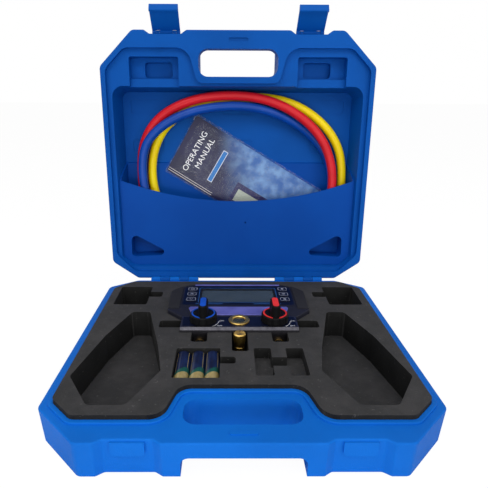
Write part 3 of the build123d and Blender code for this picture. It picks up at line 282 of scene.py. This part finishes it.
class Finish(Graph):
    """One procedural material on a Principled shader."""

    def __init__(self, name, **constants):
        self.material = bpy.data.materials.new(name)
        super().__init__(self.material)
        surface = self.node("ShaderNodeBsdfPrincipled")
        self.shader = surface.socket.node
        self.output = self.node("ShaderNodeOutputMaterial", inputs={0: surface})
        for socket, value in constants.items():
            self.set(socket.replace("_", " ").title().replace("Ior", "IOR"), value)

    def set(self, socket, value):
        self.plug(self.shader.inputs[socket], value)

    def place(self):
        return self.node("ShaderNodeTexCoord", output="Object")

    def along(self, axis):
        """One coordinate of the place, in metres."""
        return self.node("ShaderNodeSeparateXYZ", inputs={0: self.place()}, output=axis)

    def noise(self, scale, detail=3.0, rough=0.55, vector=None):
        place = vector or self.place()
        sockets = {"Vector": place, "Scale": scale, "Detail": detail, "Roughness": rough}
        return self.node("ShaderNodeTexNoise", inputs=sockets)

    def speckle(self, scale):
        sockets = {"Vector": self.place(), "Scale": scale}
        return self.node("ShaderNodeTexVoronoi", {"feature": "F1"}, sockets)

    def mix(self, mask, first, second):
        """Colour mix: first where the mask is 0, second where it is 1."""
        sockets = {0: mask, 6: first, 7: second}
        return self.node("ShaderNodeMix", {"data_type": "RGBA"}, sockets, output=2)

    def step(self, value, low, high):
        """Smooth rise from 0 to 1 between two values."""
        sockets = {0: value, 1: low, 2: high}
        return self.node("ShaderNodeMapRange", {"interpolation_type": "SMOOTHSTEP"}, sockets)

    def reach(self, origin, direction):
        """Distance of the place from an origin, along a direction."""
        kind = "ShaderNodeVectorMath"
        away = self.node(kind, {"operation": "SUBTRACT"}, {0: self.place(), 1: tuple(origin)})
        pair = {0: away, 1: tuple(direction)}
        return self.node(kind, {"operation": "DOT_PRODUCT"}, pair, output=1)

    def ribs(self, middle, count):
        """A wave round an upright axis, for flutes and knurls."""
        x, y = self.along(0) - middle[0], self.along(1) - middle[1]
        turn = self.node("ShaderNodeMath", {"operation": "ARCTAN2"}, {0: x, 1: y})
        return self.node("ShaderNodeMath", {"operation": "SINE"}, {0: turn * count})

    def facing_up(self):
        normal = self.node("ShaderNodeNewGeometry", output="Normal")
        return self.node("ShaderNodeSeparateXYZ", inputs={0: normal}, output=2)

    def bump(self, height, depth, strength):
        sockets = {"Strength": strength, "Distance": depth, "Height": height}
        return self.node("ShaderNodeBump", inputs=sockets)


def linear(code):
    """Linear colour from a six-digit code."""
    parts = [int(code[i : i + 2], 16) / 255 for i in (0, 2, 4)]
    return tuple(c / 12.92 if c <= 0.04045 else ((c + 0.055) / 1.055) ** 2.4 for c in parts)


def tones(made, pattern, low, high, first, second):
    """Two tones of one colour that a pattern blends."""
    return made.mix(made.step(pattern, low, high), linear(first), linear(second))


def coat(names, finish):
    """Give each node the finish in place of its own."""
    for name in names:
        mesh = nodes[name].data
        mesh.materials.clear()
        mesh.materials.append(finish.material)


# ---- finishes -----------------------------------------------------------------------------------
def moulded(name, code, dark, grain=0.00006, rough=0.46, gloss=0.09):
    """Moulded plastic: fine leather-like grain and faint flow marks."""
    made = Finish(name, specular_ior_level=gloss)
    flow = made.noise(9, 4)
    fine = made.noise(420, 2)
    cells = made.speckle(900)
    made.set("Base Color", tones(made, flow, 0.3, 0.75, code, dark))
    made.set("Roughness", rough + flow * 0.12 + fine * 0.06)
    made.set("Normal", made.bump(cells + fine * 0.6, grain, 0.5))
    return made


def foam():
    """Closed-cell foam: dusty skin, with painted light on the upward faces and painted shade on the
    upright cut walls.
    """
    made = Finish("foam", specular_ior_level=0.25)
    soot = made.noise(38, 5, 0.65)
    cells = made.speckle(1500)
    # Upward faces take the lighter skin tone and upright walls the darker tone: painted light and
    # shade chosen by facing direction.
    top = made.step(made.facing_up(), 0.2, 0.8)
    skin = tones(made, soot, 0.35, 0.7, "2f2f30", "3c3b3c")
    shaded_wall = tones(made, soot, 0.3, 0.7, "131313", "202020")
    dust = made.step(made.noise(260, 2, 0.7), 0.66, 0.74)
    colour = made.mix(dust * 0.25, made.mix(top, shaded_wall, skin), linear("7d7b79"))
    made.set("Base Color", colour)
    made.set("Roughness", 0.82 + soot * 0.12)
    made.set("Normal", made.bump(cells * 0.7 + made.noise(90, 4), 0.00035, 0.6))
    return made


def hose_rubber(name, code, dark):
    """Smooth extruded jacket with a faint orange-peel."""
    made = Finish(name, specular_ior_level=0.25)
    flow = made.noise(30, 3)
    made.set("Base Color", tones(made, flow, 0.3, 0.8, code, dark))
    made.set("Roughness", 0.28 + flow * 0.14)
    made.set("Normal", made.bump(made.noise(500, 2), 0.00005, 0.4))
    return made


def metal(name, code, dark, rough=0.25):
    """Turned metal: fine lathe lines over a mottled tone."""
    made = Finish(name, metallic=1.0)
    squeeze = {0: made.place(), 1: (0.02, 0.02, 1.0)}
    rings = made.node("ShaderNodeVectorMath", {"operation": "MULTIPLY"}, squeeze)
    lines = made.noise(3200, 1, 0.5, rings)
    patina = made.noise(160, 4)
    made.set("Base Color", tones(made, patina, 0.35, 0.8, code, dark))
    made.set("Roughness", rough + patina * 0.15 + lines * 0.08)
    made.set("Normal", made.bump(lines, 0.00003, 0.4))
    return made


def film(name, code, dark, rough=0.26, gloss=0.12):
    """Printed film or satin plastic with very fine texture."""
    made = Finish(name, specular_ior_level=gloss)
    tone = made.noise(60, 3)
    made.set("Base Color", tones(made, tone, 0.3, 0.75, code, dark))
    made.set("Roughness", rough + tone * 0.08)
    made.set("Normal", made.bump(made.noise(1800, 2), 0.00002, 0.4))
    return made


def clear(name, tint, alpha, rough=0.06, gloss=0.2):
    """Clear window: the surface shows mostly what is behind it."""
    made = Finish(name, specular_ior_level=gloss)
    smear = made.noise(40, 3)
    made.set("Base Color", made.mix(smear * 0.2, linear(tint), linear("9aa4ac")))
    made.set("Roughness", rough + smear * 0.05)
    made.set("Alpha", alpha + smear * 0.05)
    return made


def battery_wrap():
    """Cell wrap: dark sleeve with a gold and green slanted foot, bare metal ends."""
    made = Finish("battery wrap", specular_ior_level=0.35)
    x, y, z = (made.along(axis) for axis in range(3))
    across = (x + 0.0646) % 0.0146
    slope = made.step(y - across * 0.75, -0.0712, -0.0706)
    band = made.step(y - across * 0.4, -0.0748, -0.0742)
    off_middle = abs(across - 0.0073)
    pinstripe = (off_middle > 0.0052) * (off_middle < 0.0056) * slope
    rim = made.step(y, -0.0825, -0.0815)
    gold = made.mix(made.noise(300, 3), linear("c9b57a"), linear("8d7b45"))
    green = made.mix(made.noise(300, 3), linear("1f6a58"), linear("0f3a34"))
    navy = tones(made, made.noise(80, 3), 0.3, 0.7, "0d1430", "1b2a52")
    body = made.mix(slope, made.mix(band, gold, green), navy)
    body = made.mix(pinstripe, body, gold)
    made.set("Base Color", made.mix(rim, linear("d8cfae"), body))
    made.set("Metallic", 1 - rim * 0.8)
    made.set("Roughness", 0.26 + made.noise(200, 2) * 0.1)
    return made


def booklet_cover():
    """Printed cover: night-blue field, paler panel, specks, lozenge and plain device shape."""
    made = Finish("booklet cover", specular_ior_level=0.3)
    across = made.reach(BOOK_MIDDLE, BOOK_ALONG)
    up = made.reach(BOOK_MIDDLE, BOOK_UP)
    cloud = made.noise(22, 3, 0.5)
    streak = made.noise(70, 2, 0.5)
    pale = made.step(across + up * 0.9 + cloud * 0.03, -0.03, 0.05)
    night = tones(made, cloud, 0.3, 0.75, "15163a", "2a2a52")
    sky = tones(made, streak, 0.3, 0.8, "3a6ab2", "84addc")
    corner = made.step(across - up * 0.6, 0.075, 0.1)
    colour = made.mix(corner, made.mix(pale, night, sky), linear("12307a"))
    specks = made.step(made.speckle(240), 0.055, 0.03) * made.step(made.noise(60, 1), 0.5, 0.6)
    colour = made.mix(specks * (1 - pale), colour, linear("a9d4ef"))

    def patch(u0, u1, v0, v1):
        inside = (across > u0) * (across < u1)
        return inside * (up > v0) * (up < v1)

    colour = made.mix(patch(-0.046, -0.0385, -0.026, 0.022), colour, linear("e6eef8"))
    colour = made.mix(patch(-0.0452, -0.0393, -0.0252, 0.0212), colour, linear("1b78c6"))
    colour = made.mix(patch(-0.006, 0.046, -0.038, -0.006), colour, linear("26245a"))
    colour = made.mix(patch(0.0, 0.034, -0.032, -0.014), colour, linear("b9c2b4"))
    colour = made.mix(patch(0.05, 0.07, -0.036, -0.012), colour, linear("202028"))
    made.set("Base Color", colour)
    made.set("Roughness", 0.3 + cloud * 0.1)
    made.set("Normal", made.bump(cloud, 0.0002, 0.3))
    return made


def bag_film():
    """Clear crinkled bag: painted highlights along the creases, the flat parts stay clear."""
    made = Finish("bag film", specular_ior_level=0.25, base_color=(0.8, 0.84, 0.92))
    crease = made.noise(70, 6, 0.7)
    # Creases show more of the pale film colour: a painted highlight.
    crease_highlight = 1 - made.step(abs(crease - 0.5), 0.0, 0.008)
    haze = made.noise(18, 3)
    made.set("Alpha", 0.01 + haze * 0.02 + crease_highlight * 0.3)
    made.set("Roughness", 0.12 + haze * 0.1)
    made.set("Normal", made.bump(crease, 0.0012, 0.8))
    return made


def knurled(name, code, dark, middle, count):
    """Turned metal with knurling round an upright axis."""
    made = Finish(name, metallic=1.0)
    patina = made.noise(220, 4)
    wave = made.ribs(middle, count)
    made.set("Base Color", tones(made, patina + wave * 0.1, 0.3, 0.8, code, dark))
    made.set("Roughness", 0.24 + patina * 0.14)
    made.set("Normal", made.bump(wave * 0.5 + patina * 0.2, 0.00025, 0.5))
    return made


case_blue = moulded("case blue", "0a6cd0", "0862c0", 0.00014)
# The lid is the same plastic as the case: its darker copy of the case blue is painted shade.
lid_blue_painted_shade = moulded("lid blue painted shade", "0455ae", "034c9e", 0.0001)
# The hose pocket's darker blue is painted shade for the inside of the open lid.
pocket_blue_painted_shade = moulded("pocket blue painted shade", "0049a4", "00439a", 0.00004, 0.42)
housing_navy = moulded("housing navy", "23242f", "191a24", 0.00003, 0.45)
coat(["base_shell"], case_blue)
coat(["lid_shell", "latch_left", "latch_right"], lid_blue_painted_shade)
coat(["hose_pocket"], pocket_blue_painted_shade)
coat(["gauge_rear_housing", "gauge_front_housing", "battery_door"], housing_navy)
coat(["side_grips"], moulded("grip rubber", "2c2c30", "222226", 0.00006, 0.6))
brass = metal("brass", "d9b566", "8c6c33", 0.22)
steel = metal("steel", "b9bcc0", "8b8f94", 0.25)
block_metal = metal("anodised block", "504f55", "3a393f", 0.3)
fittings = [f"hose_{colour}_{part}" for colour in tubes for part in ("ends", "nut_a", "nut_b")]
coat([*fittings, "sight_glass_ring", "side_port_fittings", "centre_port_fitting"], brass)
coat(["centre_port_cap"], knurled("knurled cap", "e0bd6c", "9a7838", (0, -0.0065), 44))
coat(["hinge_pins", "latch_pins", "housing_screws", "pressure_sensors"], steel)
coat(["low_valve_stem", "high_valve_stem"], steel)
coat(["manifold_block"], block_metal)
label_film = film("label film", "101428", "0b0e1e")
coat(["face_label", "block_plate"], label_film)
violet = film("violet trim", "6a6cba", "5b5da8", 0.3)
coat(["trim_band", "trim_bar"], violet)
coat(["lcd_module"], film("display", "485664", "404e5c", 0.4, 0.05))
coat(["lcd_lens"], clear("display window", "3a4856", 0.1, 0.2, 0.05))
# Dark, mostly opaque tint on the lens: painted shade in place of the dark well behind the glass.
coat(["sight_glass_lens"], clear("sight glass", "1c2620", 0.75))
coat(["circuit_board"], film("board", "1d5a34", "174a2b", 0.4))
keys = [f"key_{side}_{number}" for side in ("left", "right") for number in (1, 2, 3)]
coat(keys, film("keys", "161a2e", "10142a", 0.35))
knob_black = moulded("knob black", "0e0e10", "09090b", 0.00004, 0.42)
coat(["low_knob", "high_knob", "side_port_caps"], knob_black)
coat(["low_knob_accents"], film("low blue", "1c5ad0", "184eb8", 0.3))
coat(["high_knob_accents"], film("high red", "ee3a36", "d8302e", 0.3))
coat(["aa_batteries"], battery_wrap())
coat(["manual_booklet"], booklet_cover())
for colour, tone, dark in (
    ("red", "dc1c2a", "cc1622"),
    ("yellow", "ffe400", "fbd800"),
    ("blue", "0648aa", "053f9a"),
):
    tubes[colour].data.materials.append(hose_rubber(f"{colour} jacket", tone, dark).material)


# ---- pieces made here ---------------------------------------------------------------------------
def new_piece(name, body, made, points, faces, smooth=False):
    """A mesh piece in world metres that rides on a body."""
    mesh = bpy.data.meshes.new(name)
    mesh.from_pydata([tuple(p) for p in points], [], faces)
    mesh.materials.append(made.material)
    for face in mesh.polygons:
        face.use_smooth = smooth
    piece = bpy.data.objects.new(name, mesh)
    bpy.context.scene.collection.objects.link(piece)
    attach(piece, body)
    return piece


FOAM_NODES = [n for n in nodes if n.startswith("foam_")]
WELD = 0.00002
FLAT_ANGLE = 2
FOAM_EDGE = 0.0009


def foam_block():
    """The die-cut foam as one block with softened edges."""
    foam_skin = foam()
    piece = new_piece("die_cut_foam", "root", foam_skin, [], [])
    piece.data = nodes[FOAM_NODES[0]].data.copy()
    for name in FOAM_NODES[1:]:
        join = piece.modifiers.new(f"join {name}", "BOOLEAN")
        join.operation, join.solver, join.object = "UNION", "EXACT", nodes[name]
    joined = piece.evaluated_get(bpy.context.evaluated_depsgraph_get())
    shaped = bpy.data.meshes.new_from_object(joined)
    piece.modifiers.clear()
    work = bmesh.new()
    work.from_mesh(shaped)
    bmesh.ops.remove_doubles(work, verts=work.verts, dist=WELD)
    flat = math.radians(FLAT_ANGLE)
    bmesh.ops.dissolve_limit(work, angle_limit=flat, verts=work.verts, edges=work.edges)
    work.to_mesh(shaped)
    work.free()
    piece.data = shaped
    shaped.materials.clear()
    shaped.materials.append(foam_skin.material)
    soften(piece, FOAM_EDGE, 3)
    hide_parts(*FOAM_NODES)
    return piece


def soften(piece, width, segments=2, angle=40):
    """Round a piece's sharp edges."""
    bevel = piece.modifiers.new("softened edges", "BEVEL")
    bevel.width, bevel.segments = width, segments
    bevel.limit_method, bevel.angle_limit = "ANGLE", math.radians(angle)
    bevel.harden_normals = False


def book_point(u, v, out):
    """A point over the booklet: along the spine, up the short side and out of the lid."""
    return BOOK_MIDDLE + BOOK_ALONG * u + BOOK_UP * v + BOOK_OUT * out


BAG_GRID = (72, 36)
BAG_HALF = (0.1038, 0.0458)
BAG_HALF_THICK = 0.00148
BAG_FOLD = 0.00035


def bag():
    """Clear bag: two crinkled films that meet round the booklet's edge."""
    columns, rows = BAG_GRID
    half_u, half_v = BAG_HALF
    points, faces = [], []
    for sign in (1, -1):
        for i in range(columns + 1):
            for j in range(rows + 1):
                u, v = (2 * i / columns - 1), (2 * j / rows - 1)
                rim = min(1.0, 8 * (1 - abs(u)), 5 * (1 - abs(v)))
                fold = BAG_FOLD * abs(math.sin(31 * u + 17 * v) + math.sin(13 * u - 29 * v))
                lift = sign * (BAG_HALF_THICK * rim + (fold * rim if sign > 0 else 0))
                points.append(book_point(u * half_u, v * half_v, lift))
    stride = rows + 1
    for side in range(2):
        base = side * (columns + 1) * stride
        for i in range(columns):
            for j in range(rows):
                a = base + i * stride + j
                quad = (a, a + stride, a + stride + 1, a + 1)
                faces.append(quad if side == 0 else quad[::-1])
    piece = new_piece("clear_bag", "lid", bag_film(), points, faces, smooth=True)
    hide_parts("manual_sleeve")
    return piece


def ribbon(name, body, made, line, width, closed=False):
    """A flat printed line along points in one level plane."""
    points, faces = [], []
    count = len(line)
    for i, here in enumerate(line):
        before = line[i - 1] if i or closed else line[0]
        after = line[(i + 1) % count] if i < count - 1 or closed else line[-1]
        run = (Vector(after) - Vector(before)).normalized()
        side = Vector((-run.y, run.x, 0)) * width / 2
        points += [Vector(here) - side, Vector(here) + side]
    last = count if closed else count - 1
    for i in range(last):
        a, b = 2 * i, 2 * ((i + 1) % count)
        faces.append((a, b, b + 1, a + 1))
    return new_piece(name, body, made, points, faces)


def arc(middle, radius, start, end, level, steps=16):
    """Points on an arc, angles in degrees."""
    turns = [math.radians(start + (end - start) * i / steps) for i in range(steps + 1)]
    x, y = middle
    return [(x + radius * math.cos(t), y + radius * math.sin(t), level) for t in turns]


def rounded(x0, x1, y0, y1, radius, level):
    """Points round a rectangle with round corners."""
    corners = ((x1, y1, 0), (x0, y1, 90), (x0, y0, 180), (x1, y0, 270))
    line = []
    for (x, y, start), (dx, dy) in zip(corners, ((-1, -1), (1, -1), (1, 1), (-1, 1))):
        line += arc((x + dx * radius, y + dy * radius), radius, start, start + 90, level, 4)
    return line


def words(name, body, made, text, place, along, up, size):
    """A short piece of plain print."""
    curve = bpy.data.curves.new(name, "FONT")
    curve.body = text
    curve.size = size
    curve.align_x, curve.align_y = "CENTER", "CENTER"
    curve.extrude = 0.00002
    curve.materials.append(made.material)
    piece = bpy.data.objects.new(name, curve)
    out = Vector(along).cross(Vector(up))
    piece.matrix_world = Matrix(
        [(along[i], up[i], out[i], place[i]) for i in range(3)] + [(0, 0, 0, 1)]
    )
    bpy.context.scene.collection.objects.link(piece)
    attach(piece, body)
    return piece


PRINT_LIFT = 0.00004
KEY_INSET = 0.0016
KEY_LINE = 0.0005
SIGN_REACH = 0.0019


def centre(low, high):
    """The middle of a box, seen from above."""
    return (low[0] + high[0]) / 2, (low[1] + high[1]) / 2


def key_marks():
    """A white rounded outline and a plain sign on each key."""
    white = film("white print", "c4cad8", "b4bac8", 0.35)
    signs = {
        "key_left_1": "arc",
        "key_left_2": "bars",
        "key_left_3": "tick",
        "key_right_1": "dot",
        "key_right_2": "bars",
        "key_right_3": "dot",
    }
    for name, sign in signs.items():
        low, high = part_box(name)
        x, y = middle = centre(low, high)
        level = high[2] + PRINT_LIFT

        def mark(part, line, width, closed=False):
            ribbon(f"{name}_{part}", name, white, line, width, closed)

        edges = (low[0] + KEY_INSET, high[0] - KEY_INSET, low[1] + KEY_INSET, high[1] - KEY_INSET)
        mark("outline", rounded(*edges, 0.0018, level), 0.0004, True)
        if sign == "arc":
            mark("sign", arc(middle, 0.0018, -230, 50, level), KEY_LINE)
            mark("bar", [(x, y + 0.0004, level), (x, y + 0.0026, level)], KEY_LINE)
        if sign == "dot":
            mark("sign", arc(middle, 0.0011, 0, 360, level), 0.0012)
        if sign == "bars":
            for number in (-1, 0, 1):
                along = y + 0.0013 * number
                line = [(x - SIGN_REACH, along, level), (x + SIGN_REACH, along, level)]
                mark(f"bar_{number + 2}", line, KEY_LINE)
        if sign == "tick":
            line = [
                (x - SIGN_REACH, y + 0.0009, level),
                (x, y - 0.0012, level),
                (x + SIGN_REACH, y + 0.0009, level),
            ]
            mark("sign", line, 0.0006)


def plate_marks():
    """Turning arcs with ON and OFF beside each knob, and fine lines round the display."""
    white = film("plate print", "e8eaee", "d8dae0", 0.35)
    for name in ("low", "high"):
        x, y = middle = centre(*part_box(f"{name}_knob"))
        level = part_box("block_plate")[1][2] + PRINT_LIFT
        curve = arc(middle, 0.0175, -52, -8, level)
        tip = [
            (x + 0.0163, y - 0.0042, level),
            (x + 0.0174, y - 0.0022, level),
            (x + 0.0189, y - 0.0038, level),
        ]
        ribbon(f"{name}_turn_arc", "root", white, curve, 0.0005)
        ribbon(f"{name}_turn_tip", "root", white, tip, 0.0005)
        for text, across, along in (("ON", 0.0205, -0.001), ("OFF", 0.0185, -0.0125)):
            spot = (x + across, y + along, level)
            label = f"{name}_{text.lower()}"
            words(label, "root", white, text, spot, (1, 0, 0), (0, 1, 0), 0.0032)
    blue = film("pale line", "4a86d8", "3f78c6", 0.35)
    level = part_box("face_label")[1][2] + PRINT_LIFT
    (x0, y0, _), (x1, y1, _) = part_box("lcd_lens")
    edge = rounded(x0 - 0.0014, x1 + 0.0014, y0 - 0.0014, y1 + 0.0014, 0.002, level)
    ribbon("display_line", "root", blue, edge, 0.0004, True)
    for side, name in ((-1, "left"), (1, "right")):
        run = [(side * 0.019, y0 - 0.0052, level), (side * 0.052, y0 - 0.0052, level)]
        ribbon(f"label_rule_{name}", "root", blue, run, 0.0007)


def booklet_print():
    """Plain words and the bag's zip on the booklet in the lid."""
    white = film("booklet print", "ffffff", "f6f8fc", 0.4)

    def line(number, text, u, v):
        spot = book_point(u, v, 0.00135)
        name = f"booklet_words_{number}"
        words(name, "lid", white, text, spot, BOOK_UP, -BOOK_ALONG, 0.0112)

    line(1, "OPERATING", -0.080, 0.0)
    for number, v in ((1, -0.0375), (2, -0.0405)):
        ends = [book_point(u, v - 0.02 * (u + 0.1), 0.0023) for u in (-0.101, -0.03)]
        points = [ends[0], ends[1], ends[1] + BOOK_UP * 0.0005, ends[0] + BOOK_UP * 0.0005]
        new_piece(f"bag_zip_{number}", "lid", white, points, [(0, 1, 2, 3)])
    line(2, "MANUAL", -0.0665, 0.004)


MOULD_EDGE = 0.0006
for name in ("hose_pocket", "manifold_block", "lid_shell"):
    soften(nodes[name], MOULD_EDGE)
foam_block()
bag()
key_marks()
plate_marks()
booklet_print()


# ---- floor and background -----------------------------------------------------------------------
FLOOR_REACH = 12
FLOOR_DROP = 0.0002
WORLD_LIGHT = 0.35
FLOOR_GLOW = 1.04
GLOW_SHARE = 0.92


def white_world():
    """White to the camera, to gloss and through glass, and a weaker light on the object."""
    world = bpy.data.worlds.new("room")
    bpy.context.scene.world = world
    graph = Graph(world)

    def ray(kind):
        return graph.node("ShaderNodeLightPath", output=f"Is {kind} Ray")

    def larger(first, second):
        return graph.node("ShaderNodeMath", {"operation": "MAXIMUM"}, {0: first, 1: second})

    shown = larger(larger(ray("Camera"), ray("Glossy")), ray("Transmission"))
    lit = graph.node("ShaderNodeBackground", inputs={0: (1, 1, 1), 1: WORLD_LIGHT})
    seen = graph.node("ShaderNodeBackground", inputs={0: (1, 1, 1), 1: 1.0})
    mixed = graph.node("ShaderNodeMixShader", inputs={0: shown, 1: lit, 2: seen})
    graph.node("ShaderNodeOutputWorld", inputs={0: mixed})


def pale_floor():
    """A floor that shows white and keeps the object's shadow."""
    reach = FLOOR_REACH
    corners = [(-reach, -reach, 0), (reach, -reach, 0), (reach, reach, 0), (-reach, reach, 0)]
    mesh = bpy.data.meshes.new("floor")
    mesh.from_pydata(corners, [], [(0, 1, 2, 3)])
    floor = bpy.data.objects.new("floor", mesh)
    floor.location.z = -FLOOR_DROP
    bpy.context.scene.collection.objects.link(floor)
    paint = Finish("pale floor", base_color=(0.9, 0.9, 0.9), roughness=0.9, specular_ior_level=0.0)
    glow = paint.node("ShaderNodeEmission", inputs={0: (1, 1, 1), 1: FLOOR_GLOW})
    share = paint.node("ShaderNodeLightPath", output="Is Camera Ray") * GLOW_SHARE
    surface = Value(paint, paint.shader.outputs[0])
    mixed = paint.node("ShaderNodeMixShader", inputs={0: share, 1: surface, 2: glow})
    paint.plug(paint.output.inputs[0], mixed)
    mesh.materials.append(paint.material)


white_world()
pale_floor()
bpy.context.scene.view_settings.view_transform = "Standard"

bpy.context.view_layer.update()
